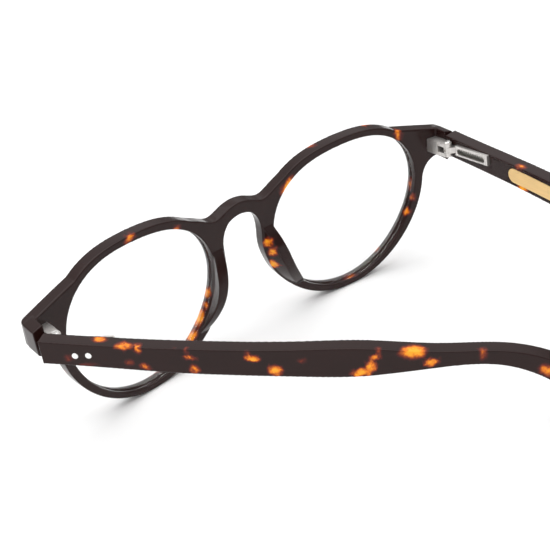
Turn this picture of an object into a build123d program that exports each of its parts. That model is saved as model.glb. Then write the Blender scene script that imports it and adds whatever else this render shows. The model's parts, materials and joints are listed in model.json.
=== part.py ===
"""Acetate reading glasses with sprung temple hinges.

Millimetres, +Z up. The glasses stand on a table on the bottoms of their rims and on the tips of
their temples. X points to the wearer's left and Y points back along the temples. The origin is on
the table, under the middle of the bridge. The right temple is open and the left one is part folded.
"""
from build123d import *
from math import cos, degrees, pi, radians, sin
import os

# The front's attitude and its gentle bend round a vertical line behind it
LEAN = 5.0
STAND_HEIGHT = 24.89
BEND_RADIUS = 338.0
FRONT_THICKNESS = 3.8

# The rims, as radius against angle about each lens centre: mean, then a cosine and a sine of 2, 3, 4 turns
LENS_ARC = 34.5
OPENING_RADIUS = 22.99
OPENING_WAVES = {2: (0.99, 0.37), 3: (-0.12, 0.94), 4: (-0.14, 0.0)}
RIM_WIDTH = 2.35
RIM_WIDTH_WAVES = {1: (-0.25, 0.2), 2: (0.45, 0.0)}
OUTLINE_STEPS = 28

# The bridge's upper and under edges, from its middle to the rim, with their directions at both ends
BRIDGE_TOP = ((-1.0, 17.0), (3.8, 16.3), (8.2, 14.75), (12.6, 16.6), (17.0, 19.0))
BRIDGE_TOP_ENDS = ((1, 0), (0.75, 0.55))
BRIDGE_UNDER = (
    (-1.0, 13.4),
    (3.7, 12.5),
    (6.3, 8.6),
    (6.6, 0.0),
    (8.0, -5.6),
    (10.3, -10.4),
    (13.8, -14.9),
)
BRIDGE_UNDER_ENDS = ((1, 0), (0.68, -0.74))
BRIDGE_UNDER_PULLS = (1.0, 0.3)
BRIDGE_INSIDE_RIM = ((15.5, 16.0), (13.0, 0.0), (15.2, -14.5))

# The lenses: a +1.75 dioptre meniscus with a bevel that sits in the rim's groove
LENS_FRONT_RADIUS = 120.0
LENS_BACK_RADIUS = 205.0
LENS_FRONT_APEX = -0.8
LENS_BACK_APEX = 1.6
BEVEL_START = 1.85
BEVEL_HEIGHT = 0.5
BEVEL_WIDTH = 0.9
GROOVE_GAP = 0.05
LENS_GAP = 0.02

# The end pieces, where the hinges are set
END_INSIDE_RIM = ((55.0, 2.0), (50.0, 19.9))
END_X = 68.0
END_TOP = 15.0
END_BOTTOM = 8.6
END_UNDERSIDE = ((65.0, 7.1), (61.9, 4.9), (60.4, 0.0))
END_UNDERSIDE_ENDS = ((-1, -0.3), (-0.1, -1))
END_BLOCK_X = 65.0
END_BLOCK_RISE = 0.95
END_ROUNDING = 1.6

# The nose pads, as height, nose side and lens side, and how far they flare and rise behind the rim
PAD_STATIONS = (
    (6.0, 6.9, 9.9),
    (0.0, 6.7, 10.5),
    (-6.0, 8.1, 11.8),
    (-11.5, 11.2, 14.8),
    (-16.0, 15.4, 18.2),
)
PAD_FLARE = 1.7
PAD_NARROWING = 0.35
PAD_RISE = 4.3

# The pad's ridge, as a share of its rise against height
PAD_RIDGE = ((0.0, 6.3), (0.75, 0.5), (1.0, -4.5), (0.8, -10.0), (0.05, -16.3))

# The hinge: its screw stands upright, and the temple turns about it
PIN_X = 63.5
PIN_BACK = 16.5
PIN_UP = 11.9
PIN_RADIUS = 0.55
PIN_GAP = 0.03
BARREL_RADIUS = 1.25
KNUCKLE = 1.1
EYE_THICKNESS = 1.7
SIDE_GAP = 0.05
LEAF_HALF_WIDTH = 1.4
LEAF_FRONT = -7.6
LEAF_BACK = -2.6
SCREW_HEAD_RADIUS = 1.0
SCREW_HEAD = 0.45
SCREW_CHAMFER = 0.15
SCREW_SLOT_WIDTH = 0.25
SCREW_SLOT_DEPTH = 0.22
JOINT_S = -2.2
JOINT_GAP = 0.15

# The eye: the neck's half width, where it leaves the barrel, and the blind hole in its inner side
NECK_HALF_WIDTH = 0.75
NECK_OUTER_S = 1.2
NECK_INNER_S = 1.2
EYE_HOLE_RADIUS = 0.42
EYE_HOLE_S = 0.15
EYE_HOLE_DEPTH = 0.4

# The sprung slide in the temple
HOUSING_START = 2.6
HOUSING_LENGTH = 12.3
HOUSING_HEIGHT = 3.0
HOUSING_PROUD = 1.1
HOUSING_DEPTH = 2.8
HOUSING_WALL = 0.5
HOUSING_CHAMFER = 0.2
WINDOW_LENGTH = 10.6
WINDOW_HEIGHT = 1.8
ROD_RADIUS = 0.4
ROD_GAP = 0.05
SPRING_RADIUS = 0.73
SPRING_WIRE = 0.24
SPRING_TURNS = 11
CAVITY_HALF_HEIGHT = 0.95
RETAINER_LENGTH = 0.9
RETAINER_GAP = 0.3
NECK_GAP = 0.15

# The temples
TEMPLE_IN = 1.4
TEMPLE_THICKNESS = 4.0
CURVE_START = 18.0
CURVE_RADIUS = 330.0
CURVE_LENGTH = 134.0
DIP = 5.5
BEND_START = 97.0
EAR_RADIUS = 33.0
EAR_TURN = 38.0
TIP_HEIGHT = 7.6
STATIONS = (
    (-6.0, 6.2),
    (14.0, 6.1),
    (35.0, 6.7),
    (58.0, 7.2),
    (72.0, 7.5),
    (90.0, 4.2),
    (104.0, 3.8),
    (116.0, 4.9),
    (128.0, 6.4),
)
RIVETS = (6.2, 9.5)
RIVET_RADIUS = 0.78
RIVET_DROP = 0.85
RIVET_PROUD = 0.06
CORE_HEIGHT = 1.7
CORE_THICKNESS = 1.0
CORE_STATIONS = (19.5, 60.0, 97.0, 107.0, 117.0, 125.0)
PLAQUE_START = 22.0
PLAQUE_LENGTH = 30.0
PLAQUE_HEIGHT = 4.2
PLAQUE_DEPTH = 0.5
PLAQUE_PROUD = 0.05

# The left temple rests part folded
REST_FOLD = 41.0

os.makedirs("parts", exist_ok=True)


def lean(x, y, z):
    """A point given on the upright front, moved to where the leaning front holds it."""
    turn = radians(LEAN)
    return Vector(x, y * cos(turn) + z * sin(turn), z * cos(turn) - y * sin(turn) + STAND_HEIGHT)


def lean_direction(x, y, z):
    """A direction given on the upright front, turned with the leaning front."""
    return lean(x, y, z) - lean(0, 0, 0)


def wave_sum(waves, angle):
    """A sum of cosines and sines of whole turns, for a smooth closed outline."""
    return sum(c * cos(n * angle) + s * sin(n * angle) for n, (c, s) in waves.items())


def opening_point(angle, grow=0.0):
    """A point of the lens opening's outline, moved out along its radius by grow."""
    radius = OPENING_RADIUS + wave_sum(OPENING_WAVES, angle) + grow
    return radius * cos(angle), radius * sin(angle)


def opening_outline(grow=0.0):
    """The opening's outline as points for a closed curve."""
    return [opening_point(2 * pi * i / OUTLINE_STEPS, grow) for i in range(OUTLINE_STEPS)]


def rim_outline():
    """The rim's outer outline, which is wider at the nose and the temple than above and below."""
    points = []
    for i in range(OUTLINE_STEPS):
        angle = 2 * pi * i / OUTLINE_STEPS
        points.append(opening_point(angle, RIM_WIDTH + wave_sum(RIM_WIDTH_WAVES, angle)))
    return points


FACE_TURN = degrees(LENS_ARC / BEND_RADIUS)
LENS_X = BEND_RADIUS * sin(radians(FACE_TURN))
LENS_Y = BEND_RADIUS * (1 - cos(radians(FACE_TURN)))
LENS_PLANE = Plane(
    origin=lean(LENS_X, LENS_Y, 0),
    x_dir=lean_direction(cos(radians(FACE_TURN)), sin(radians(FACE_TURN)), 0),
    z_dir=lean_direction(sin(radians(FACE_TURN)), -cos(radians(FACE_TURN)), 0),
)
PIN = lean(PIN_X, PIN_BACK, PIN_UP)
HINGE_HEIGHT = 2 * KNUCKLE + EYE_THICKNESS + 2 * SIDE_GAP
SLIDE_X = TEMPLE_IN - HOUSING_PROUD + HOUSING_DEPTH / 2
SPRING_START = HOUSING_START + HOUSING_WALL
RETAINER_END = HOUSING_START + HOUSING_LENGTH - HOUSING_WALL - RETAINER_GAP
SPRING_LENGTH = RETAINER_END - RETAINER_LENGTH - SPRING_START
FAR = 60.0
FACE = Plane(origin=lean(0, 0, 0), x_dir=(1, 0, 0), z_dir=lean_direction(0, -1, 0))
PROFILE = Plane(origin=lean(0, 0, 0), x_dir=lean_direction(0, 1, 0), z_dir=(1, 0, 0))
PLAN = Plane(origin=(PIN.X, PIN.Y, -1), x_dir=(1, 0, 0), z_dir=(0, 0, 1))
PLAN_AT_HINGE = Plane.XY.offset(PIN.Z)
HINGE_PLAN = Plane(origin=(PIN.X, PIN.Y, PIN.Z), x_dir=(1, 0, 0), z_dir=(0, 0, 1))
SIDE = Plane(origin=(PIN.X, PIN.Y, 0), x_dir=(0, 1, 0), z_dir=(1, 0, 0))
ROD_PLANE = Plane(origin=(PIN.X + SLIDE_X, PIN.Y, PIN.Z), x_dir=(1, 0, 0), z_dir=(0, 1, 0))


def flat(x, z):
    """A point of the upright front, in the left lens plane's own coordinates."""
    turn = radians(FACE_TURN)
    bulge = x * x / (2 * BEND_RADIUS)
    return (x - LENS_X) * cos(turn) + (bulge - LENS_Y) * sin(turn), z


def flats(points):
    """Several points of the upright front, in the left lens plane's own coordinates."""
    return [flat(x, z) for x, z in points]


def bent_slab(front_offset, back_offset):
    """The bent layer between two depths behind the front's face."""
    axis_plane = Plane(
        origin=lean(0, BEND_RADIUS, 0),
        x_dir=(1, 0, 0),
        z_dir=lean_direction(0, 0, 1),
    )
    with BuildPart() as slab:
        with BuildSketch(axis_plane.offset(-FAR / 2)):
            Circle(BEND_RADIUS - front_offset)
            Circle(BEND_RADIUS - back_offset, mode=Mode.SUBTRACT)
        extrude(amount=FAR)
    return slab.part


def front_half():
    """The left half of the front: rim, half of the bridge and the end piece, in one layer."""
    with BuildPart() as half:
        with BuildSketch(LENS_PLANE.offset(FAR / 4)):
            with BuildLine():
                Spline(*rim_outline(), periodic=True)
            make_face()
            with BuildLine():
                top = Spline(*flats(BRIDGE_TOP), tangents=BRIDGE_TOP_ENDS)
                under = Spline(
                    *flats(BRIDGE_UNDER),
                    tangents=BRIDGE_UNDER_ENDS,
                    tangent_scalars=BRIDGE_UNDER_PULLS,
                )
                Line(top @ 0, under @ 0)
                Polyline(top @ 1, *flats(BRIDGE_INSIDE_RIM), under @ 1)
            make_face()
            with BuildLine():
                rim_low, rim_high = flats(END_INSIDE_RIM)
                upper = Polyline(rim_high, flat(END_X, END_TOP), flat(END_X, END_BOTTOM))
                start, middle, foot = flats(END_UNDERSIDE)
                lower = Line(upper @ 1, start)
                hollow = Spline(lower @ 1, middle, foot, tangents=END_UNDERSIDE_ENDS)
                Polyline(hollow @ 1, rim_low, upper @ 0)
            make_face()
        extrude(amount=-FAR / 2)
        with BuildSketch(LENS_PLANE.offset(FAR / 4)):
            with BuildLine():
                Spline(*opening_outline(), periodic=True)
            make_face()
        extrude(amount=-FAR / 2, mode=Mode.SUBTRACT)
        add(bent_slab(0, FRONT_THICKNESS), mode=Mode.INTERSECT)
        with BuildSketch(LENS_PLANE.offset(-BEVEL_START + GROOVE_GAP)):
            with BuildLine():
                Spline(*opening_outline(BEVEL_HEIGHT + GROOVE_GAP), periodic=True)
            make_face()
        extrude(amount=-BEVEL_WIDTH - 2 * GROOVE_GAP, mode=Mode.SUBTRACT)
        add(end_block())
        outer_edges = [e for e in half.edges() if min(v.X for v in e.vertices()) > END_X - GROOVE_GAP]
        fillet(ShapeList(outer_edges).sort_by(Axis.Y)[0], radius=END_ROUNDING)
        split(bisect_by=Plane.YZ, keep=Keep.TOP)
    return half.part


def end_block():
    """The thick back of the end piece, whose flat end meets the temple."""
    with BuildPart() as block:
        with BuildSketch(PLAN):
            outer = END_X - PIN_X
            inner = END_BLOCK_X - PIN_X
            Polygon(
                (inner, JOINT_S - JOINT_GAP), (outer, JOINT_S - JOINT_GAP), (outer, LEAF_FRONT),
                (inner, LEAF_FRONT), align=None,
            )
        extrude(amount=FAR)
        with BuildSketch(FACE.offset(FAR / 2)):
            Polygon(
                (END_BLOCK_X, END_UNDERSIDE[0][1]), (END_X, END_BOTTOM), (END_X, END_TOP),
                (END_BLOCK_X, END_TOP + END_BLOCK_RISE), align=None,
            )
        extrude(amount=-FAR, mode=Mode.INTERSECT)
    return block.part


def front_frame():
    """Both halves of the front, joined, with the seats that the hinge leaves are sunk into."""
    with BuildPart() as front:
        add(front_half())
        mirror(about=Plane.YZ)
        for side in (1, -1):
            with BuildSketch(PLAN_AT_HINGE.offset(-HINGE_HEIGHT / 2)):
                with Locations((side * PIN.X, PIN.Y + (LEAF_FRONT + LEAF_BACK) / 2)):
                    Rectangle(2 * LEAF_HALF_WIDTH, LEAF_BACK - LEAF_FRONT)
            extrude(amount=HINGE_HEIGHT, mode=Mode.SUBTRACT)
    return front.part


def pad_outline(rise):
    """The pad's outline at a rise behind the rim: it flares away from the nose and narrows."""
    share = rise / PAD_RISE
    flare = PAD_FLARE * share
    pinch = PAD_NARROWING * share
    nose_side = [(x + flare + pinch, z) for z, x, _ in PAD_STATIONS]
    lens_side = [(x + flare - pinch, z) for z, _, x in PAD_STATIONS]
    return nose_side, lens_side[::-1]


def nose_pad():
    """A pad bonded behind the rim, highest at its middle."""
    depths = (FRONT_THICKNESS - 1.0, FRONT_THICKNESS + PAD_RISE + 0.5)
    with BuildPart() as pad:
        for depth in depths:
            nose_side, lens_side = pad_outline(depth - FRONT_THICKNESS)
            with BuildSketch(FACE.offset(-depth)):
                with BuildLine():
                    inner = Spline(*nose_side)
                    outer = Spline(*lens_side)
                    Line(inner @ 1, outer @ 0)
                    Line(outer @ 1, inner @ 0)
                make_face()
        loft()
        with BuildSketch(PROFILE):
            with BuildLine():
                ridge = Spline(*[(FRONT_THICKNESS + share * PAD_RISE, z) for share, z in PAD_RIDGE])
                Polyline(ridge @ 1, (0, (ridge @ 1).Y), (0, (ridge @ 0).Y), ridge @ 0)
            make_face()
        extrude(amount=FAR, mode=Mode.INTERSECT)
        add(bent_slab(-FRONT_THICKNESS, FRONT_THICKNESS), mode=Mode.SUBTRACT)
    return pad.part


def lens():
    """A meniscus lens cut to the opening, with a bevel round its edge."""
    with BuildPart() as glass:
        with BuildSketch(LENS_PLANE.offset(FAR / 4)):
            with BuildLine():
                Spline(*opening_outline(-LENS_GAP), periodic=True)
            make_face()
        extrude(amount=-FAR / 2)
        with Locations(LENS_PLANE.offset(-LENS_FRONT_APEX - LENS_FRONT_RADIUS)):
            Sphere(LENS_FRONT_RADIUS, mode=Mode.INTERSECT)
        with Locations(LENS_PLANE.offset(-LENS_BACK_APEX - LENS_BACK_RADIUS)):
            Sphere(LENS_BACK_RADIUS, mode=Mode.SUBTRACT)
        with BuildSketch(LENS_PLANE.offset(-BEVEL_START)):
            with BuildLine():
                Spline(*opening_outline(BEVEL_HEIGHT), periodic=True)
            make_face()
        extrude(amount=-BEVEL_WIDTH)
    return glass.part


def hinge_leaf():
    """The front's half of the hinge: a sunk plate and two knuckles."""
    with BuildPart() as leaf:
        with BuildSketch(PLAN_AT_HINGE.offset(-HINGE_HEIGHT / 2)):
            with Locations((PIN.X, PIN.Y + (LEAF_FRONT + LEAF_BACK) / 2)):
                Rectangle(2 * LEAF_HALF_WIDTH, LEAF_BACK - LEAF_FRONT)
        extrude(amount=HINGE_HEIGHT)
        for bottom in (-HINGE_HEIGHT / 2, HINGE_HEIGHT / 2 - KNUCKLE):
            with BuildSketch(PLAN_AT_HINGE.offset(bottom)):
                with Locations((PIN.X, PIN.Y)):
                    Circle(BARREL_RADIUS)
                with Locations((PIN.X, PIN.Y + LEAF_BACK / 2)):
                    Rectangle(2 * BARREL_RADIUS, -LEAF_BACK)
                with Locations((PIN.X, PIN.Y)):
                    Circle(PIN_RADIUS + PIN_GAP, mode=Mode.SUBTRACT)
            extrude(amount=KNUCKLE)
    return leaf.part


def hinge_screw():
    """The screw that is the hinge's pin, with a slotted head."""
    with BuildPart() as screw:
        with BuildSketch(PLAN_AT_HINGE.offset(-HINGE_HEIGHT / 2)):
            with Locations((PIN.X, PIN.Y)):
                Circle(PIN_RADIUS)
        extrude(amount=HINGE_HEIGHT)
        with BuildSketch(PLAN_AT_HINGE.offset(HINGE_HEIGHT / 2)):
            with Locations((PIN.X, PIN.Y)):
                Circle(SCREW_HEAD_RADIUS)
        extrude(amount=SCREW_HEAD)
        chamfer(screw.faces().sort_by(Axis.Z)[-1].edges(), length=SCREW_CHAMFER)
        with BuildSketch(PLAN_AT_HINGE.offset(HINGE_HEIGHT / 2 + SCREW_HEAD)):
            with Locations((PIN.X, PIN.Y)):
                Rectangle(3 * SCREW_HEAD_RADIUS, SCREW_SLOT_WIDTH)
        extrude(amount=-SCREW_SLOT_DEPTH, mode=Mode.SUBTRACT)
    return screw.part


def hinge_eye():
    """The temple's knuckle, cranked across to the rod that slides in the housing."""
    with BuildPart() as eye:
        with BuildSketch(HINGE_PLAN.offset(-EYE_THICKNESS / 2)):
            Circle(BARREL_RADIUS - SIDE_GAP)
            Polygon(
                (-BARREL_RADIUS + SIDE_GAP, 0.0),
                (0.0, -BARREL_RADIUS + SIDE_GAP),
                (SLIDE_X + NECK_HALF_WIDTH, NECK_OUTER_S),
                (SLIDE_X + NECK_HALF_WIDTH, HOUSING_START),
                (SLIDE_X - NECK_HALF_WIDTH, HOUSING_START),
                (-NECK_HALF_WIDTH, NECK_INNER_S),
                align=None,
            )
            Circle(PIN_RADIUS + PIN_GAP, mode=Mode.SUBTRACT)
        extrude(amount=EYE_THICKNESS)
        with BuildSketch(ROD_PLANE.offset(HOUSING_START - NECK_HALF_WIDTH)):
            Circle(ROD_RADIUS)
        extrude(amount=RETAINER_END - HOUSING_START + NECK_HALF_WIDTH)
        with BuildSketch(SIDE.offset(-BARREL_RADIUS)):
            with Locations((EYE_HOLE_S, PIN.Z)):
                Circle(EYE_HOLE_RADIUS)
        extrude(amount=EYE_HOLE_DEPTH, mode=Mode.SUBTRACT)
    return eye.part


def spring_retainer():
    """The collar swaged on the rod's end."""
    with BuildPart() as collar:
        with BuildSketch(ROD_PLANE.offset(RETAINER_END - RETAINER_LENGTH)):
            Circle(SPRING_RADIUS + SPRING_WIRE / 2)
            Circle(ROD_RADIUS, mode=Mode.SUBTRACT)
        extrude(amount=RETAINER_LENGTH)
    return collar.part


def flex_spring():
    """The coil on the rod, between the housing's front wall and the retainer."""
    rise = SPRING_LENGTH - 2 * SPRING_WIRE
    start = SPRING_START + SPRING_WIRE
    with BuildPart() as spring:
        with BuildLine():
            path = Helix(
                pitch=rise / SPRING_TURNS,
                height=rise,
                radius=SPRING_RADIUS,
                center=ROD_PLANE.offset(start).origin,
                direction=ROD_PLANE.z_dir,
            )
        with BuildSketch(Plane(origin=path @ 0, z_dir=path % 0)):
            Circle(SPRING_WIRE / 2)
        sweep(path=path)
    return spring.part


def hinge_housing():
    """The spring's box, let into the temple's inner face, with a window along the spring."""
    near = TEMPLE_IN - HOUSING_PROUD
    with BuildPart() as housing:
        with BuildSketch(HINGE_PLAN.offset(-HOUSING_HEIGHT / 2)):
            with Locations((near + HOUSING_DEPTH / 2, HOUSING_START + HOUSING_LENGTH / 2)):
                Rectangle(HOUSING_DEPTH, HOUSING_LENGTH)
        extrude(amount=HOUSING_HEIGHT)
        chamfer(housing.faces().sort_by(Axis.X)[0].edges(), length=HOUSING_CHAMFER)
        with BuildSketch(HINGE_PLAN.offset(-CAVITY_HALF_HEIGHT)):
            with Locations((SLIDE_X, HOUSING_START + HOUSING_LENGTH / 2)):
                Rectangle(HOUSING_DEPTH - 2 * HOUSING_WALL, HOUSING_LENGTH - 2 * HOUSING_WALL)
        extrude(amount=2 * CAVITY_HALF_HEIGHT, mode=Mode.SUBTRACT)
        with BuildSketch(ROD_PLANE.offset(HOUSING_START)):
            Circle(ROD_RADIUS + ROD_GAP)
        extrude(amount=HOUSING_WALL, mode=Mode.SUBTRACT)
        with BuildSketch(SIDE.offset(near)):
            with Locations((HOUSING_START + HOUSING_LENGTH / 2, PIN.Z)):
                SlotOverall(WINDOW_LENGTH, WINDOW_HEIGHT)
        extrude(amount=HOUSING_WALL, mode=Mode.SUBTRACT)
        with BuildSketch(SIDE.offset(near + HOUSING_DEPTH - HOUSING_WALL)):
            with Locations(*rivet_centres()):
                Circle(RIVET_RADIUS)
        extrude(amount=HOUSING_WALL, mode=Mode.SUBTRACT)
    return housing.part


def rivet_centres():
    """Where the two rivets cross the temple, seen from its side."""
    return [(s, PIN.Z - RIVET_DROP) for s in RIVETS]


def temple_rivets():
    """Two rivets, from the temple's outer face into the housing's back."""
    start = TEMPLE_IN - HOUSING_PROUD + HOUSING_DEPTH - HOUSING_WALL
    with BuildPart() as rivets:
        for s, z in rivet_centres():
            reach = TEMPLE_IN + TEMPLE_THICKNESS + RIVET_PROUD
            with BuildSketch(SIDE.offset(start)):
                with Locations((s, z)):
                    Circle(RIVET_RADIUS)
            extrude(amount=reach - start)
    return rivets.part


def centre_line(s):
    """The temple's centre line in its side view: distance back, height and downward slope."""
    dip = radians(DIP)
    turned = min(max(s - BEND_START, 0) / EAR_RADIUS, radians(EAR_TURN))
    slope = dip + turned
    straight = min(s, BEND_START)
    after = max(s - BEND_START - EAR_RADIUS * radians(EAR_TURN), 0)
    back = straight * cos(dip) + EAR_RADIUS * (sin(slope) - sin(dip)) + after * cos(slope)
    height = PIN.Z - straight * sin(dip) - EAR_RADIUS * (cos(dip) - cos(slope)) - after * sin(slope)
    return back, height, slope


def temple_end():
    """The length at which the temple's rounded tip just touches the table."""
    bent = BEND_START + EAR_RADIUS * radians(EAR_TURN)
    _, height, slope = centre_line(bent)
    return bent + (height - TIP_HEIGHT / 2) / sin(slope)


def strip(stations):
    """A strip along the temple's centre line, from stations of length and width, round at its end."""
    upper = []
    lower = []
    for s, width in stations:
        back, height, slope = centre_line(s)
        upper.append((back + width / 2 * sin(slope), height + width / 2 * cos(slope)))
        lower.append((back - width / 2 * sin(slope), height - width / 2 * cos(slope)))
    s, width = stations[-1]
    back, height, slope = centre_line(s)
    tip = (back + width / 2 * cos(slope), height - width / 2 * sin(slope))
    with BuildSketch(SIDE) as sketch:
        with BuildLine():
            top = Spline(*upper)
            bottom = Spline(*lower)
            ThreePointArc(top @ 1, tip, bottom @ 1)
            Line(top @ 0, bottom @ 0)
        make_face()
    return sketch.sketch


def bowed(inner, outer):
    """The upright layer between two distances out from the pin, curving in behind the hinge, in plan."""
    drop = CURVE_LENGTH ** 2 / (2 * CURVE_RADIUS)
    with BuildSketch(PLAN) as sketch:
        with BuildLine():
            near = Line((inner, -CURVE_START), (inner, CURVE_START))
            far = Line((outer, -CURVE_START), (outer, CURVE_START))
            near_arc = TangentArc(near @ 1, (inner - drop, CURVE_START + CURVE_LENGTH), tangent=(0, 1))
            far_arc = TangentArc(far @ 1, (outer - drop, CURVE_START + CURVE_LENGTH), tangent=(0, 1))
            Line(near @ 0, far @ 0)
            Line(near_arc @ 1, far_arc @ 1)
        make_face()
    return sketch.sketch


def core_wire():
    """The flat metal core inside the temple."""
    stations = [(s, CORE_HEIGHT) for s in CORE_STATIONS]
    middle = TEMPLE_IN + TEMPLE_THICKNESS / 2
    with BuildPart() as core:
        extrude(strip(stations), amount=FAR, both=True)
        layer = bowed(middle - CORE_THICKNESS / 2, middle + CORE_THICKNESS / 2)
        extrude(layer, amount=FAR, mode=Mode.INTERSECT)
    return core.part


def plaque():
    """The blank metal strip let into the temple's inner face."""
    back, height, slope = centre_line(PLAQUE_START + PLAQUE_LENGTH / 2)
    with BuildPart() as strip_plate:
        with BuildSketch(SIDE):
            with Locations((back, height)):
                SlotOverall(PLAQUE_LENGTH, PLAQUE_HEIGHT, rotation=-degrees(slope))
        extrude(amount=FAR, both=True)
        layer = bowed(TEMPLE_IN - PLAQUE_PROUD, TEMPLE_IN + PLAQUE_DEPTH)
        extrude(layer, amount=FAR, mode=Mode.INTERSECT)
    return strip_plate.part


def temple(inlays):
    """The acetate temple, with the seats for all that it holds."""
    near = TEMPLE_IN - HOUSING_PROUD
    outer = TEMPLE_IN + TEMPLE_THICKNESS
    with BuildPart() as arm:
        extrude(strip(STATIONS + ((temple_end(), TIP_HEIGHT),)), amount=FAR, both=True)
        extrude(bowed(TEMPLE_IN, outer), amount=FAR, mode=Mode.INTERSECT)
        with BuildSketch(PLAN):
            with Locations((0, JOINT_S - FAR)):
                Rectangle(2 * FAR, 2 * FAR)
        extrude(amount=FAR, mode=Mode.SUBTRACT)
        with BuildSketch(HINGE_PLAN.offset(-HOUSING_HEIGHT / 2)):
            with Locations((near + HOUSING_DEPTH / 2, HOUSING_START + HOUSING_LENGTH / 2)):
                Rectangle(HOUSING_DEPTH, HOUSING_LENGTH)
        extrude(amount=HOUSING_HEIGHT, mode=Mode.SUBTRACT)
        with BuildSketch(HINGE_PLAN.offset(-EYE_THICKNESS / 2 - NECK_GAP)):
            with Locations((0, HOUSING_START - FAR / 2)):
                Rectangle(2 * (SLIDE_X + NECK_HALF_WIDTH + NECK_GAP), FAR)
        extrude(amount=EYE_THICKNESS + 2 * NECK_GAP, mode=Mode.SUBTRACT)
        with BuildSketch(SIDE.offset(near + HOUSING_DEPTH - HOUSING_WALL)):
            with Locations(*rivet_centres()):
                Circle(RIVET_RADIUS)
        extrude(amount=FAR, mode=Mode.SUBTRACT)
        for inlay in inlays:
            add(inlay, mode=Mode.SUBTRACT)
    return arm.part


def save(part, name):
    """Label one node and write it."""
    part.label = name
    export_step(part, f"parts/{name}.step")


def main():
    save(front_frame(), "front_frame")
    for name, build in {
        "lens": lens,
        "nose_pad": nose_pad,
        "front_hinge": hinge_leaf,
        "hinge_screw": hinge_screw,
    }.items():
        left = build()
        save(left, f"{name}_left")
        save(left.mirror(Plane.YZ), f"{name}_right")
    core = core_wire()
    plate = plaque()
    turning = {
        "hinge_eye": hinge_eye(),
        "spring_retainer": spring_retainer(),
        "flex_spring": flex_spring(),
        "hinge_housing": hinge_housing(),
        "temple_rivets": temple_rivets(),
        "core_wire": core,
        "temple_plaque": plate,
        "temple": temple((core, plate)),
    }
    pin_axis = Axis(PIN, (0, 0, 1))
    for name, open_part in turning.items():
        save(open_part.rotate(pin_axis, REST_FOLD), f"{name}_left")
        save(open_part.mirror(Plane.YZ), f"{name}_right")


main()
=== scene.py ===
"""Acetate reading glasses: a tumbled tortoiseshell front and temples on sprung nickel hinges.

Metres, in the part's own frame. Lengths named in millimetres are multiplied by MM.
"""
import json
import math

import bmesh
import bpy
import numpy as np
from mathutils import Matrix, Vector, noise
from mathutils.bvhtree import BVHTree


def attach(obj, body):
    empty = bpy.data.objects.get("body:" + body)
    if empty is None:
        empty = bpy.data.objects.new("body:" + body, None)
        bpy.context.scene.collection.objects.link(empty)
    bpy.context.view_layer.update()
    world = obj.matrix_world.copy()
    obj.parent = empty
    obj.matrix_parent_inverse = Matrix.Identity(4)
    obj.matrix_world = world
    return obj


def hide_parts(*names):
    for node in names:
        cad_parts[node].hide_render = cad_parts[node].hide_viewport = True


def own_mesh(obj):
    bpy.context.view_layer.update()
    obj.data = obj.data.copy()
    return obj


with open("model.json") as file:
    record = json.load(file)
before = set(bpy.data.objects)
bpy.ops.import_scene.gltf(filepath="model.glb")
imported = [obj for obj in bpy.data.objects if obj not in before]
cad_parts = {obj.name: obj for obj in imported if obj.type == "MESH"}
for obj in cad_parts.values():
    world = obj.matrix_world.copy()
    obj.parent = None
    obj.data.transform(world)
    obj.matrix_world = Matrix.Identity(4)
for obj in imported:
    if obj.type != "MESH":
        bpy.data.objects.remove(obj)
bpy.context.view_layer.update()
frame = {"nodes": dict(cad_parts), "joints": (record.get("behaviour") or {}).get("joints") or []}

MM = 0.001

# The leaning, gently bent front
FRONT_LEAN = math.radians(5.0)
FRONT_BEND = 338.0
RIM_MIDDLE = 24.89

# The hinges: the pin, the angle at which the left temple rests part folded, and how far out
# from the pins the springs' rods lie
HINGE_PIN = Vector(next(j for j in frame["joints"] if j["name"] == "left_fold")["pos_m"])
REST_FOLD = math.radians(41.0)
SLIDE_OUT = 1.7

# The temples, in millimetres out from the pin and back from it
TEMPLE_INNER_FACE = 1.4
TEMPLE_OUTER_FACE = 5.4
CURVE_START = 18.0
CURVE_RADIUS = 330.0

# Tumbling: the size of the polished form's facets, and how far its edges are worn round. Close
# to the metal's seats and on the faces that meet at the hinge, 2.28 mm ahead of the pin, less is worn.
GRAIN = 0.14
WEAR = 0.5
FRONT_TUMBLING = 30
TEMPLE_TUMBLING = 18
SEAT_KEPT_CRISP = 0.12
SEAT_TO_ROUND = 0.55
JOINT_BACK = -2.28
JOINT_SHARE = 0.25
FACES_KEPT = 170000
WELD = 1e-7

# The coil springs and rivets
SPRING_START = 3.1
SPRING_END = 13.2
SPRING_RADIUS = 0.73
SPRING_WIRE = 0.24
SPRING_TURNS = 11
STEPS_PER_TURN = 28
WIRE_SIDES = 12
RIVET_BACK = (6.2, 9.5)
RIVET_RADIUS = 0.78
RIVET_DROP = 0.85
RIVET_DOME = 0.05
RIVET_SHANK = 2.7
RIVET_SIDES = 40
SHANK_RINGS = 4
HEAD_RINGS = 8

# The grain of each finish, in cells to the metre, and what it varies
MOTTLE_GRAIN = 1100.0
MOTTLE_RANGE = (0.20, 1.60)
SMOKE_GRAIN = 150.0
SMOKE_SHARE = 0.10
POLISH_GRAIN = 420.0
POLISH_RANGE = (0.10, 0.20)
RIPPLE_GRAIN = 260.0
RIPPLE_STRENGTH = 0.10
RIPPLE_HEIGHT = 0.04 * MM
LINE_GRAIN = 2600.0
LINE_STRETCH = 0.06
LINE_STRENGTH = 0.15
LINE_HEIGHT = 0.02 * MM
LINE_DULLING = 0.3
FILM_GRAIN = 30.0
FILM_RANGE = (0.0, 0.02)
PAPER_GRAIN = 60.0

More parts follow.
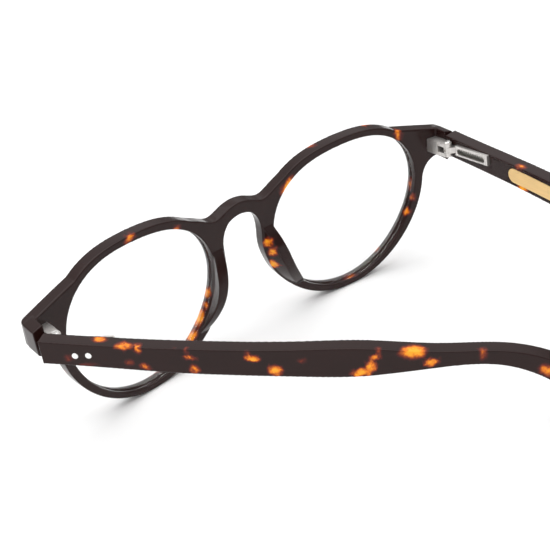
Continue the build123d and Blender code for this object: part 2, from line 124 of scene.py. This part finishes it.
# Amber in the acetate, as length, height and depth in the sheet, half sizes the same way, tilt
# and strength. On the front, length is to the wearer's left and depth is from the front face.
FRONT_AMBER = (
    (34.1, 46.7, 3.9, 2.1, 0.9, 1.0, -20, 0.80),
    (19.9, 42.5, 3.9, 1.3, 1.2, 0.8, 0, 0.60),
    (12.1, 18.1, 0.9, 1.2, 1.9, 1.5, 0, 0.95),
    (13.4, 14.6, 1.3, 1.3, 1.0, 1.5, -60, 0.70),
    (15.7, 11.2, 0.8, 2.9, 1.2, 1.6, -52, 1.15),
    (19.4, 7.3, 1.4, 2.8, 1.1, 1.6, -46, 1.05),
    (-15.9, 40.2, 3.8, 2.9, 1.0, 1.6, 136, 1.10),
    (-52.8, 42.1, 3.9, 1.2, 2.4, 1.4, 0, 0.80),
    (-58.0, 23.4, 1.2, 1.0, 2.6, 1.2, 5, 0.45),
    (-56.9, 20.0, 3.3, 0.9, 1.6, 1.0, 10, 0.60),
    (-54.9, 15.8, 2.6, 1.2, 2.6, 1.4, -25, 1.00),
    (-34.9, 1.3, 2.1, 2.4, 1.1, 1.6, 0, 0.55),
    (-6.9, 26.3, 5.0, 1.2, 1.9, 1.8, 30, 1.10),
    (-7.9, 23.4, 5.4, 1.1, 2.2, 1.6, 30, 1.05),
    (-8.6, 18.9, 4.4, 1.5, 2.9, 1.5, 35, 1.20),
    (7.6, 22.0, 6.2, 1.1, 2.4, 1.0, -20, 0.60),
    (-44.0, 46.2, 0.0, 3.0, 1.2, 1.2, -25, 0.95),
    (-27.0, 47.2, 0.0, 2.0, 1.0, 1.1, 10, 0.60),
    (-9.0, 33.0, 0.0, 1.3, 2.4, 1.1, 20, 0.85),
    (-21.0, 5.0, 0.0, 2.4, 1.1, 1.1, 35, 0.90),
    (-47.0, 4.6, 0.0, 3.0, 1.2, 1.1, 40, 1.00),
    (-59.0, 31.0, 0.0, 1.2, 2.8, 1.1, 0, 0.75),
    (2.0, 39.4, 0.0, 2.2, 1.2, 1.1, 0, 0.60),
    (25.0, 45.8, -0.3, 3.2, 1.0, 0.8, 8, 0.95),
    (47.0, 44.4, 0.0, 2.0, 1.1, 1.1, -35, 0.60),
    (60.5, 36.0, 0.0, 2.6, 1.6, 1.1, 15, 0.90),
    (58.6, 20.0, 0.0, 1.1, 2.6, 1.1, 8, 0.85),
    (49.0, 5.6, 0.0, 2.2, 1.1, 1.1, -40, 0.55),
    (32.0, 1.4, 0.0, 3.0, 1.0, 1.1, 0, 1.00),
    (-64.0, 37.0, 0.0, 1.8, 1.6, 1.1, 0, 0.60),
)
# On a temple, length is back from the pin, height is above it and depth is from the inner face.
LEFT_TEMPLE_AMBER = (
    (12.1, 1.9, 1.3, 2.0, 0.8, 1.3, 0, 0.85),
    (18.4, 1.2, 3.3, 2.4, 0.8, 1.5, -3, 0.95),
    (21.9, 0.8, 3.6, 0.9, 1.5, 1.6, 0, 0.85),
    (19.3, -2.8, 4.0, 1.4, 0.9, 1.0, -10, 0.38),
    (22.6, -4.1, 4.0, 1.5, 0.9, 1.0, -10, 0.65),
    (30.0, 1.0, 3.4, 1.3, 0.6, 1.0, 0, 0.30),
    (33.2, 0.2, 4.0, 0.7, 1.8, 1.4, 8, 0.36),
    (33.9, -2.1, 4.0, 1.7, 0.7, 1.0, -12, 0.80),
    (34.3, -5.2, 4.0, 1.3, 1.3, 1.0, -40, 0.80),
    (48.2, -3.3, 4.0, 2.1, 0.8, 1.2, -8, 1.05),
    (47.2, -1.8, 4.0, 0.9, 0.9, 1.0, 0, 0.34),
    (52.8, -6.9, 4.0, 1.8, 1.6, 1.3, 0, 1.00),
    (59.0, -4.8, 4.0, 1.1, 0.7, 1.0, 0, 0.36),
    (71.9, -9.5, 4.0, 2.4, 1.2, 1.4, 4, 1.15),
    (74.2, -8.0, 4.0, 1.4, 1.6, 1.4, 0, 1.05),
    (75.2, -5.9, 4.0, 1.6, 0.9, 1.2, 10, 0.80),
    (76.1, -4.2, 4.0, 0.8, 1.4, 1.3, 0, 0.38),
    (83.8, -5.4, 4.0, 3.0, 2.0, 2.4, 0, 1.25),
    (87.2, -8.9, 4.0, 2.1, 1.0, 1.2, 5, 0.95),
    (98.7, -8.2, 4.0, 1.1, 2.1, 1.8, 0, 0.48),
    (112.6, -15.9, 4.0, 2.6, 1.6, 1.5, -35, 0.90),
    (4.6, -1.4, 4.0, 1.6, 1.2, 1.0, 0, 0.30),
    (8.6, -3.3, 4.0, 3.2, 0.6, 1.0, 0, 0.28),
    (123.0, -24.0, 4.0, 2.2, 1.8, 1.6, -40, 0.95),
    (58.0, -5.4, 0.0, 3.0, 1.0, 1.1, -6, 0.95),
    (66.0, -7.4, 0.0, 1.6, 1.3, 1.1, 0, 0.60),
    (89.0, -8.4, 0.0, 2.6, 1.1, 1.1, 0, 0.95),
    (103.0, -10.6, 0.0, 1.2, 1.6, 1.1, 0, 0.55),
    (121.0, -21.5, 0.0, 2.8, 1.4, 1.1, -38, 1.00),
)
RIGHT_TEMPLE_AMBER = (
    (25.9, 0.8, 0.9, 1.8, 1.3, 1.3, 0, 0.66),
    (26.9, -5.3, 0.0, 2.4, 1.2, 1.2, 0, 1.00),
    (18.0, -3.0, 4.0, 2.8, 1.1, 1.2, 12, 0.95),
    (29.0, -1.2, 4.0, 1.4, 1.0, 1.1, 0, 0.45),
    (41.0, -4.6, 4.0, 3.0, 1.4, 1.3, -14, 1.05),
    (55.0, -3.2, 4.0, 1.8, 0.9, 1.1, 20, 0.60),
    (64.0, -7.6, 4.0, 2.2, 1.5, 1.2, 0, 0.95),
    (80.0, -6.4, 4.0, 3.4, 1.2, 1.3, 10, 1.10),
    (95.0, -8.6, 4.0, 1.2, 1.6, 1.2, 0, 0.50),
    (116.0, -18.0, 4.0, 2.8, 1.4, 1.4, -35, 0.95),
    (60.0, -4.6, 0.0, 2.0, 0.9, 1.1, 10, 0.85),
    (74.0, -7.6, 0.0, 3.0, 1.2, 1.1, -10, 1.00),
    (98.0, -9.4, 0.0, 1.4, 1.3, 1.1, 0, 0.60),
    (118.0, -19.5, 0.0, 2.4, 1.3, 1.1, -35, 0.95),
)
# How the dye was drawn about, and how far its red edge reaches past an amber patch
SWIRL_SIZE = 1.3
SWIRL_REACH = 0.45
SWIRL_SEED = 11
HALO_REACH = 1.25

# The view, the lamps and the table
CAMERA_PLACE = (0.16128, 0.27118, 0.18832)
CAMERA_RIGHT = (-0.7865, 0.59814, -0.15381)
CAMERA_UP = (-0.40102, -0.30521, 0.86373)
CAMERA_BACK = (0.46969, 0.74100, 0.47991)
CAMERA_LENS = 85.385
CAMERA_SENSOR = 36.0
NEAREST_SEEN = 0.01
FARTHEST_SEEN = 60.0
LOW_SKY = (0.28, 0.28, 0.28)
HIGH_SKY = (0.90, 0.90, 0.90)
TOP_SKY = (1.0, 1.0, 1.0)
CANOPY_POWER = 1.35
CANOPY_WIDTH = math.radians(80.0)
SOFTBOX_PLACE = (0.75, 0.10, 0.55)
SOFTBOX_AIM = (0.0, 0.05, 0.0)
SOFTBOX_SIZE = 0.5
SOFTBOX_POWER = 0.9
TABLE_REACH = 12.0


def set_values(shader, **values):
    """Constants on the shader's own sockets, named with underscores for spaces."""
    for name, value in values.items():
        shader.inputs[name.replace("_", " ")].default_value = value


def new_material(name):
    """A material with its shader, and a place in the object's own space."""
    material = bpy.data.materials.new(name)
    material.use_nodes = True
    tree = material.node_tree
    shader = tree.nodes["Principled BSDF"]
    place = tree.nodes.new("ShaderNodeTexCoord")
    return material, tree, shader, place.outputs["Object"]


def cloudy(tree, place, scale, detail=3.0):
    """A noise field over the piece, between 0 and 1."""
    field = tree.nodes.new("ShaderNodeTexNoise")
    field.inputs["Scale"].default_value = scale
    field.inputs["Detail"].default_value = detail
    tree.links.new(place, field.inputs["Vector"])
    return field.outputs["Fac"]


def sums(tree, operation, first, second, third=None):
    """One step of arithmetic on sockets or numbers."""
    step = tree.nodes.new("ShaderNodeMath")
    step.operation = operation
    for socket, value in zip(step.inputs, (first, second, third)):
        if isinstance(value, bpy.types.NodeSocket):
            tree.links.new(value, socket)
        elif value is not None:
            socket.default_value = value
    return step.outputs[0]


def ramp(tree, value, stops):
    """Colours along a value."""
    node = tree.nodes.new("ShaderNodeValToRGB")
    elements = node.color_ramp.elements
    while len(elements) < len(stops):
        elements.new(0.5)
    for element, (position, colour) in zip(elements, stops):
        element.position = position
        element.color = (*colour, 1.0)
    tree.links.new(value, node.inputs[0])
    return node.outputs[0]


def spread(tree, value, low, high):
    """A 0 to 1 field brought to the range low to high."""
    return sums(tree, "MULTIPLY_ADD", value, high - low, low)


def relief(tree, shader, height, strength, distance):
    """Fine relief on the surface."""
    bump = tree.nodes.new("ShaderNodeBump")
    bump.inputs["Strength"].default_value = strength
    bump.inputs["Distance"].default_value = distance
    tree.links.new(height, bump.inputs["Height"])
    tree.links.new(bump.outputs["Normal"], shader.inputs["Normal"])


def tortoiseshell(name):
    """Polished dark acetate: amber clouds with red edges, from the piece's own amber attribute."""
    material, tree, shader, place = new_material(name)
    amber = tree.nodes.new("ShaderNodeAttribute")
    amber.attribute_name = "amber"
    mottle = spread(tree, cloudy(tree, place, MOTTLE_GRAIN, 4.0), *MOTTLE_RANGE)
    depth = sums(tree, "MULTIPLY", amber.outputs["Fac"], mottle)
    smoke = sums(tree, "MULTIPLY", cloudy(tree, place, SMOKE_GRAIN, 4.0), SMOKE_SHARE)
    tone = sums(tree, "ADD", depth, smoke)
    stops = (
        (0.00, (0.0150, 0.0058, 0.0052)),
        (0.10, (0.0230, 0.0080, 0.0068)),
        (0.26, (0.0900, 0.0120, 0.0090)),
        (0.44, (0.2900, 0.0480, 0.0100)),
        (0.66, (0.8200, 0.2000, 0.0120)),
        (1.00, (1.0000, 0.4200, 0.0260)),
    )
    tree.links.new(ramp(tree, tone, stops), shader.inputs["Base Color"])
    polish = spread(tree, cloudy(tree, place, POLISH_GRAIN), *POLISH_RANGE)
    tree.links.new(polish, shader.inputs["Roughness"])
    ripple = cloudy(tree, place, RIPPLE_GRAIN, 2.0)
    relief(tree, shader, ripple, RIPPLE_STRENGTH, RIPPLE_HEIGHT)
    set_values(shader, IOR=1.48, Specular_IOR_Level=0.24)
    return material


def drawn_metal(name, colour, roughness, along, turn=0.0, contrast=0.12):
    """Metal with fine lines along one direction of the piece, after a turn about the upright."""
    material, tree, shader, place = new_material(name)
    laid = tree.nodes.new("ShaderNodeMapping")
    laid.inputs["Rotation"].default_value = (0.0, 0.0, turn)
    laid.inputs["Scale"].default_value = [LINE_STRETCH if axis == along else 1.0 for axis in "xyz"]
    tree.links.new(place, laid.inputs["Vector"])
    lines = cloudy(tree, laid.outputs["Vector"], LINE_GRAIN)
    dull = tuple(channel * (1.0 - 2.0 * contrast) for channel in colour)
    tree.links.new(ramp(tree, lines, ((0.3, dull), (0.7, colour))), shader.inputs["Base Color"])
    smooth, rough = roughness * (1.0 - LINE_DULLING), roughness * (1.0 + LINE_DULLING)
    tree.links.new(spread(tree, lines, smooth, rough), shader.inputs["Roughness"])
    relief(tree, shader, lines, LINE_STRENGTH, LINE_HEIGHT)
    set_values(shader, Metallic=0.9)
    return material


def lens_glass(name):
    """A clear lens with a faint green coating that varies a little over its face."""
    material, tree, shader, place = new_material(name)
    film = cloudy(tree, place, FILM_GRAIN, 1.0)
    colours = ((0.3, (0.965, 0.985, 0.970)), (0.7, (0.985, 0.995, 0.985)))
    tree.links.new(ramp(tree, film, colours), shader.inputs["Base Color"])
    tree.links.new(spread(tree, film, *FILM_RANGE), shader.inputs["Roughness"])
    set_values(shader, IOR=1.50, Transmission_Weight=1.0, Alpha=0.10)
    material.surface_render_method = "BLENDED"
    return material


def table_paper(name):
    """The pale matt table."""
    material, tree, shader, place = new_material(name)
    tooth = cloudy(tree, place, PAPER_GRAIN)
    colours = ((0.0, (0.90, 0.90, 0.90)), (1.0, (0.94, 0.94, 0.94)))
    tree.links.new(ramp(tree, tooth, colours), shader.inputs["Base Color"])
    set_values(shader, Roughness=0.9, Specular_IOR_Level=0.0)
    return material


def temple_place(side):
    """From a temple's own lengths (out, back, up from the pin) to its place at rest."""
    if side == "left":
        return Matrix.Translation(HINGE_PIN) @ Matrix.Rotation(REST_FOLD, 4, "Z")
    place = Matrix.Translation((-HINGE_PIN.x, HINGE_PIN.y, HINGE_PIN.z))
    return place @ Matrix.Diagonal((-1.0, 1.0, 1.0, 1.0))


def corners(mesh):
    """A mesh's vertices as an array."""
    flat = np.empty(len(mesh.vertices) * 3, np.float32)
    mesh.vertices.foreach_get("co", flat)
    return flat.reshape(-1, 3).astype(float)


def temple_lengths(points, side):
    """Points as back, up and depth in the temple, in millimetres, with its bow taken out."""
    to_local = np.array(temple_place(side).inverted())
    local = (points @ to_local[:3, :3].T + to_local[:3, 3]) / MM
    bow = np.clip(local[:, 1] - CURVE_START, 0.0, None) ** 2 / (2.0 * CURVE_RADIUS)
    return np.stack((local[:, 1], local[:, 2], local[:, 0] - TEMPLE_INNER_FACE + bow), axis=1)


def front_lengths(points):
    """Points as across, up and depth in the front, in millimetres, with its bend and lean taken out."""
    x, y, z = (points / MM).T
    depth = y - x ** 2 / (2.0 * FRONT_BEND) - (z - RIM_MIDDLE) * math.sin(FRONT_LEAN)
    return np.stack((x, z, depth), axis=1)


def before_joint(points):
    """How far points of the front are ahead of the faces that the temples close on, in millimetres."""
    return HINGE_PIN.y / MM + JOINT_BACK - points[:, 1] / MM


def swirled(points):
    """Points drawn about as the dye was before the sheet set."""
    noise.seed_set(SWIRL_SEED)
    moved = points.copy()
    for i, point in enumerate(points):
        moved[i] += np.array(noise.noise_vector(Vector(point) / SWIRL_SIZE)) * SWIRL_REACH
    return moved


def paint_amber(mesh, lengths, patches):
    """How far each vertex is inside the amber, kept as the mesh's amber attribute."""
    points = swirled(lengths)
    field = np.zeros(len(points))
    for length, height, depth, half_length, half_height, half_depth, tilt, strength in patches:
        away = points - np.array((length, height, depth))
        cos_tilt, sin_tilt = math.cos(math.radians(tilt)), math.sin(math.radians(tilt))
        along = (away[:, 0] * cos_tilt + away[:, 1] * sin_tilt) / half_length
        across = (away[:, 1] * cos_tilt - away[:, 0] * sin_tilt) / half_height
        reach = np.sqrt(along ** 2 + across ** 2 + (away[:, 2] / half_depth) ** 2)
        field = np.maximum(field, np.clip(HALO_REACH - reach, 0.0, 1.0) * strength)
    layer = mesh.attributes.new("amber", "FLOAT", "POINT")
    layer.data.foreach_set("value", field.astype(np.float32))


def welded(node):
    """A node's mesh as a bmesh with its loose triangles joined up."""
    shell = bmesh.new()
    shell.from_mesh(frame["nodes"][node].data)
    bmesh.ops.remove_doubles(shell, verts=shell.verts, dist=WELD)
    return shell


def joined(name, shells):
    """One object from several shells."""
    total = bmesh.new()
    for shell in shells:
        part = bpy.data.meshes.new("part")
        shell.to_mesh(part)
        total.from_mesh(part)
        bpy.data.meshes.remove(part)
        shell.free()
    mesh = bpy.data.meshes.new(name)
    total.to_mesh(mesh)
    total.free()
    piece = bpy.data.objects.new(name, mesh)
    bpy.context.scene.collection.objects.link(piece)
    return piece


def bake(piece):
    """Turn a piece's modifiers into its plain mesh."""
    bpy.context.view_layer.update()
    graph = bpy.context.evaluated_depsgraph_get()
    mesh = bpy.data.meshes.new_from_object(piece.evaluated_get(graph), depsgraph=graph)
    piece.modifiers.clear()
    piece.data = mesh
    mesh.name = piece.name
    return mesh


def keep_seats_crisp(piece, metal_nodes, joint_distance):
    """Weights for the tumbling: none at the metal's seats, and little at the hinge joint's faces."""
    tree_points, tree_faces = [], []
    for node in metal_nodes:
        data = frame["nodes"][node].data
        start = len(tree_points)
        tree_points += [v.co.copy() for v in data.vertices]
        tree_faces += [[start + i for i in face.vertices] for face in data.polygons]
    metal = BVHTree.FromPolygons(tree_points, tree_faces)
    group = piece.vertex_groups.new(name="tumbled")
    from_joint = joint_distance(corners(piece.data))
    for vertex, gap in zip(piece.data.vertices, from_joint):
        distance = metal.find_nearest(vertex.co)[3] / MM
        seat_share = min(max((distance - SEAT_KEPT_CRISP) / SEAT_TO_ROUND, 0.0), 1.0)
        joint_share = min(max(gap / SEAT_TO_ROUND, JOINT_SHARE), 1.0)
        group.add([vertex.index], min(seat_share, joint_share), "REPLACE")


def tumbled(piece, passes, metal_nodes, joint_distance):
    """Cast the piece as one closed skin, wear its edges round and thin its faces."""
    remesh = piece.modifiers.new("skin", "REMESH")
    remesh.mode = "VOXEL"
    remesh.voxel_size = GRAIN * MM
    bake(piece)
    keep_seats_crisp(piece, metal_nodes, joint_distance)
    wear = piece.modifiers.new("wear", "SMOOTH")
    wear.factor = WEAR
    wear.iterations = passes
    wear.vertex_group = "tumbled"
    worn = bake(piece)
    piece.vertex_groups.clear()
    thin = piece.modifiers.new("thin", "DECIMATE")
    thin.ratio = min(1.0, FACES_KEPT / (2.0 * len(worn.polygons)))
    mesh = bake(piece)
    mesh.polygons.foreach_set("use_smooth", [True] * len(mesh.polygons))
    return mesh


def put_on(piece, body, slot, *nodes):
    """Fix a finished piece to its body, in place of its CAD nodes."""
    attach(piece, body)
    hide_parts(*nodes)


def make_front(acetate):
    """The front with its bonded pads, tumbled together."""
    nodes = ("front_frame", "nose_pad_left", "nose_pad_right")
    piece = joined("acetate_front", [welded(node) for node in nodes])
    metal = ("front_hinge_left", "front_hinge_right")
    mesh = tumbled(piece, FRONT_TUMBLING, metal, before_joint)
    paint_amber(mesh, front_lengths(corners(mesh)), FRONT_AMBER)
    mesh.materials.append(acetate)
    put_on(piece, "front", "acetate", *nodes)


def plugged(node, side):
    """An inlay's shell cut flush with the temple's faces, to close its seat."""
    shell = welded(node)
    place = temple_place(side)
    back_to_local = place.inverted()
    for vertex in shell.verts:
        local = back_to_local @ vertex.co
        local.x = min(local.x, TEMPLE_OUTER_FACE * MM)
        vertex.co = place @ local
    return shell


def make_temple(side, acetate, patches):
    """A temple, solid behind its rivets and core, tumbled on its own."""

    def behind_joint(points):
        return temple_lengths(points, side)[:, 0] - JOINT_BACK

    rivets, core = f"temple_rivets_{side}", f"core_wire_{side}"
    shells = [welded(f"temple_{side}"), plugged(rivets, side), welded(core)]
    piece = joined(f"acetate_temple_{side}", shells)
    metal = (f"hinge_housing_{side}", f"temple_plaque_{side}")
    mesh = tumbled(piece, TEMPLE_TUMBLING, metal, behind_joint)
    paint_amber(mesh, temple_lengths(corners(mesh), side), patches)
    mesh.materials.append(acetate)
    put_on(piece, f"arm_{side}", "temple_acetate", f"temple_{side}")


def tree_with_sizes(name, sizes):
    """An empty geometry tree, the identifiers of its named sizes, and its input and output nodes."""
    tree = bpy.data.node_groups.new(name, "GeometryNodeTree")
    tree.interface.new_socket(name="Geometry", in_out="OUTPUT", socket_type="NodeSocketGeometry")
    sockets = {}
    for size, kind in sizes.items():
        made = tree.interface.new_socket(name=size, in_out="INPUT", socket_type=kind)
        sockets[size] = made.identifier
    given = tree.nodes.new("NodeGroupInput")
    result = tree.nodes.new("NodeGroupOutput")
    return tree, sockets, given, result


def finish_tree(tree, geometry, given, result):
    """Real faces, with the material that was given, into the output."""
    realised = tree.nodes.new("GeometryNodeRealizeInstances")
    painted = tree.nodes.new("GeometryNodeSetMaterial")
    tree.links.new(geometry, realised.inputs["Geometry"])
    tree.links.new(realised.outputs["Geometry"], painted.inputs["Geometry"])
    tree.links.new(given.outputs["Material"], painted.inputs["Material"])
    tree.links.new(painted.outputs["Geometry"], result.inputs[0])


def coil_tree():
    """A close-wound compression spring along the upright."""
    sizes = {
        "Coil Radius": "NodeSocketFloat",
        "Wire Radius": "NodeSocketFloat",
        "Turns": "NodeSocketFloat",
        "Length": "NodeSocketFloat",
        "Material": "NodeSocketMaterial",
    }
    tree, sockets, given, result = tree_with_sizes("coil_spring", sizes)
    line = tree.nodes.new("GeometryNodeCurveSpiral")
    line.inputs["Resolution"].default_value = STEPS_PER_TURN
    tree.links.new(given.outputs["Turns"], line.inputs["Rotations"])
    tree.links.new(given.outputs["Coil Radius"], line.inputs["Start Radius"])
    tree.links.new(given.outputs["Coil Radius"], line.inputs["End Radius"])
    tree.links.new(given.outputs["Length"], line.inputs["Height"])
    wire = tree.nodes.new("GeometryNodeCurvePrimitiveCircle")
    wire.inputs["Resolution"].default_value = WIRE_SIDES
    tree.links.new(given.outputs["Wire Radius"], wire.inputs["Radius"])
    swept = tree.nodes.new("GeometryNodeCurveToMesh")
    swept.inputs["Fill Caps"].default_value = True
    tree.links.new(line.outputs["Curve"], swept.inputs["Curve"])
    tree.links.new(wire.outputs["Curve"], swept.inputs["Profile Curve"])
    finish_tree(tree, swept.outputs["Mesh"], given, result)
    return tree, sockets


def rivet_tree():
    """Domed rivets in a row: shanks along the upright, heads at its top."""
    sizes = {
        "Head Radius": "NodeSocketFloat",
        "Shank": "NodeSocketFloat",
        "Dome": "NodeSocketFloat",
        "Pitch": "NodeSocketFloat",
        "Material": "NodeSocketMaterial",
    }
    tree, sockets, given, result = tree_with_sizes("rivet_row", sizes)
    blank = tree.nodes.new("GeometryNodeMeshCylinder")
    blank.inputs["Vertices"].default_value = RIVET_SIDES
    blank.inputs["Side Segments"].default_value = SHANK_RINGS
    blank.inputs["Fill Segments"].default_value = HEAD_RINGS
    tree.links.new(given.outputs["Head Radius"], blank.inputs["Radius"])
    tree.links.new(given.outputs["Shank"], blank.inputs["Depth"])
    place = tree.nodes.new("GeometryNodeInputPosition")
    split = tree.nodes.new("ShaderNodeSeparateXYZ")
    tree.links.new(place.outputs["Position"], split.inputs["Vector"])
    squared = sums(tree, "MULTIPLY", split.outputs["X"], split.outputs["X"])
    both = sums(tree, "MULTIPLY_ADD", split.outputs["Y"], split.outputs["Y"], squared)
    radius_squared = sums(tree, "MULTIPLY", given.outputs["Head Radius"], given.outputs["Head Radius"])
    fall = sums(tree, "DIVIDE", both, radius_squared)
    crown = sums(tree, "SUBTRACT", 1.0, sums(tree, "POWER", fall, 2.0))
    head_only = sums(tree, "GREATER_THAN", split.outputs["Z"], 0.0)
    lift = sums(tree, "MULTIPLY", sums(tree, "MULTIPLY", crown, head_only), given.outputs["Dome"])
    up = tree.nodes.new("ShaderNodeCombineXYZ")
    tree.links.new(lift, up.inputs["Z"])
    domed = tree.nodes.new("GeometryNodeSetPosition")
    tree.links.new(blank.outputs["Mesh"], domed.inputs["Geometry"])
    tree.links.new(up.outputs["Vector"], domed.inputs["Offset"])
    step = tree.nodes.new("ShaderNodeCombineXYZ")
    tree.links.new(given.outputs["Pitch"], step.inputs["Y"])
    row = tree.nodes.new("GeometryNodeMeshLine")
    row.inputs["Count"].default_value = len(RIVET_BACK)
    tree.links.new(step.outputs["Vector"], row.inputs["Offset"])
    set_in = tree.nodes.new("GeometryNodeInstanceOnPoints")
    tree.links.new(row.outputs["Mesh"], set_in.inputs["Points"])
    tree.links.new(domed.outputs["Geometry"], set_in.inputs["Instance"])
    finish_tree(tree, set_in.outputs["Instances"], given, result)
    return tree, sockets


def grown(name, tree, sockets, sizes, place):
    """A piece grown by a tree with these sizes, put in its place as a plain mesh."""
    piece = bpy.data.objects.new(name, bpy.data.meshes.new(name))
    bpy.context.scene.collection.objects.link(piece)
    growth = piece.modifiers.new("growth", "NODES")
    growth.node_group = tree
    for size, value in sizes.items():
        growth[sockets[size]] = value
    mesh = bake(piece)
    mesh.transform(place)
    shell = bmesh.new()
    shell.from_mesh(mesh)
    bmesh.ops.remove_doubles(shell, verts=shell.verts, dist=WELD)
    bmesh.ops.recalc_face_normals(shell, faces=shell.faces)
    shell.to_mesh(mesh)
    shell.free()
    mesh.polygons.foreach_set("use_smooth", [True] * len(mesh.polygons))
    return piece


def make_spring(side, tree, sockets, material):
    """The coil on the hinge's rod, grown at one fixed length."""
    length = (SPRING_END - SPRING_START - 2.0 * SPRING_WIRE) * MM
    start = Vector((SLIDE_OUT, SPRING_START + SPRING_WIRE, 0.0)) * MM
    along_rod = Matrix.Translation(start) @ Matrix.Rotation(-math.pi / 2.0, 4, "X")
    sizes = {
        "Coil Radius": SPRING_RADIUS * MM,
        "Wire Radius": SPRING_WIRE / 2.0 * MM,
        "Turns": float(SPRING_TURNS),
        "Length": length,
        "Material": material,
    }
    place = temple_place(side)
    piece = grown(f"coil_spring_{side}", tree, sockets, sizes, place @ along_rod)
    put_on(piece, f"arm_{side}", "spring_steel", f"flex_spring_{side}")
    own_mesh(piece)


def make_rivets(side, tree, sockets, material):
    """The two rivets through the temple, polished nearly flush with its outer face."""
    middle = TEMPLE_OUTER_FACE - RIVET_SHANK / 2.0
    start = Vector((middle, RIVET_BACK[0], -RIVET_DROP)) * MM
    outwards = Matrix.Translation(start) @ Matrix.Rotation(math.pi / 2.0, 4, "Y")
    sizes = {
        "Head Radius": RIVET_RADIUS * MM,
        "Shank": RIVET_SHANK * MM,
        "Dome": RIVET_DOME * MM,
        "Pitch": (RIVET_BACK[1] - RIVET_BACK[0]) * MM,
        "Material": material,
    }
    piece = grown(f"rivets_{side}", tree, sockets, sizes, temple_place(side) @ outwards)
    put_on(piece, f"arm_{side}", "rivet_steel", f"temple_rivets_{side}")


def paint_node(name, material):
    """Give a kept CAD node its finish."""
    slots = frame["nodes"][name].data.materials
    if not slots:
        slots.append(material)
    for slot in frame["nodes"][name].material_slots:
        slot.link = "OBJECT"
        slot.material = material


def make_table(material):
    """The wide pale table under the glasses."""
    mesh = bpy.data.meshes.new("table")
    quarters = ((-1, -1), (1, -1), (1, 1), (-1, 1))
    edge = [(x * TABLE_REACH, y * TABLE_REACH, 0.0) for x, y in quarters]
    mesh.from_pydata(edge, [], [(0, 1, 2, 3)])
    table = bpy.data.objects.new("table", mesh)
    bpy.context.scene.collection.objects.link(table)
    mesh.materials.append(material)


def make_lamp(name, place, aim, size, power):
    """A square softbox."""
    lamp = bpy.data.lights.new(name, "AREA")
    lamp.shape = "SQUARE"
    lamp.size = size
    lamp.energy = power
    holder = bpy.data.objects.new(name, lamp)
    holder.location = place
    holder.rotation_mode = "QUATERNION"
    holder.rotation_quaternion = (Vector(aim) - Vector(place)).to_track_quat("-Z", "Y")
    bpy.context.scene.collection.objects.link(holder)


def make_studio():
    """Even white light, brighter overhead, in front of a plain white backdrop."""
    world = bpy.data.worlds.new("studio")
    bpy.context.scene.world = world
    world.use_nodes = True
    tree = world.node_tree
    place = tree.nodes.new("ShaderNodeTexCoord")
    split = tree.nodes.new("ShaderNodeSeparateXYZ")
    tree.links.new(place.outputs["Generated"], split.inputs["Vector"])
    heights = ((0.0, LOW_SKY), (0.25, LOW_SKY), (0.50, HIGH_SKY), (1.0, TOP_SKY))
    sky = ramp(tree, split.outputs["Z"], heights)
    seen = tree.nodes.new("ShaderNodeLightPath")
    backdrop = tree.nodes.new("ShaderNodeMix")
    backdrop.data_type = "RGBA"
    tree.links.new(seen.outputs["Is Camera Ray"], backdrop.inputs["Factor"])
    lit, seen_by_eye = [socket for socket in backdrop.inputs if socket.type == "RGBA"]
    seen_by_eye.default_value = (*TOP_SKY, 1.0)
    tree.links.new(sky, lit)
    shown = next(socket for socket in backdrop.outputs if socket.type == "RGBA")
    tree.links.new(shown, tree.nodes["Background"].inputs["Color"])
    canopy = bpy.data.lights.new("canopy", "SUN")
    canopy.energy = CANOPY_POWER
    canopy.angle = CANOPY_WIDTH
    bpy.context.scene.collection.objects.link(bpy.data.objects.new("canopy", canopy))
    make_lamp("side_softbox", SOFTBOX_PLACE, SOFTBOX_AIM, SOFTBOX_SIZE, SOFTBOX_POWER)
    bpy.context.scene.view_settings.view_transform = "Standard"


def make_camera():
    """The view from behind the wearer's left, over the part-folded temple."""
    data = bpy.data.cameras.new("camera")
    data.lens = CAMERA_LENS
    data.sensor_width = CAMERA_SENSOR
    data.clip_start = NEAREST_SEEN
    data.clip_end = FARTHEST_SEEN
    camera = bpy.data.objects.new("camera", data)
    columns = Matrix((CAMERA_RIGHT, CAMERA_UP, CAMERA_BACK)).transposed()
    camera.matrix_world = Matrix.Translation(CAMERA_PLACE) @ columns.to_4x4()
    bpy.context.scene.collection.objects.link(camera)
    bpy.context.scene.camera = camera


make_camera()
make_studio()
make_table(table_paper("table_paper"))

acetate = tortoiseshell("tortoiseshell_acetate")
make_front(acetate)
make_temple("left", acetate, LEFT_TEMPLE_AMBER)
make_temple("right", acetate, RIGHT_TEMPLE_AMBER)

nickel = drawn_metal("nickel_silver", (0.78, 0.75, 0.72), 0.36, "z")
polished = drawn_metal("polished_steel", (0.90, 0.89, 0.87), 0.16, "z", contrast=0.04)
spring_wire = drawn_metal("spring_wire", (0.40, 0.40, 0.37), 0.34, "z", contrast=0.08)
core_metal = drawn_metal("core_metal", (0.60, 0.58, 0.55), 0.40, "y")
glass = lens_glass("clear_lens")
coil, coil_sockets = coil_tree()
rivet, rivet_sockets = rivet_tree()
for side, turn in (("left", -REST_FOLD), ("right", 0.0)):
    make_spring(side, coil, coil_sockets, spring_wire)
    make_rivets(side, rivet, rivet_sockets, polished)
    gold = drawn_metal(f"pale_gold_{side}", (1.00, 0.70, 0.33), 0.40, "y", turn=turn, contrast=0.05)
    for name in ("front_hinge", "hinge_eye", "hinge_housing", "spring_retainer"):
        paint_node(f"{name}_{side}", nickel)
    paint_node(f"hinge_screw_{side}", polished)
    paint_node(f"core_wire_{side}", core_metal)
    paint_node(f"temple_plaque_{side}", gold)
    paint_node(f"lens_{side}", glass)
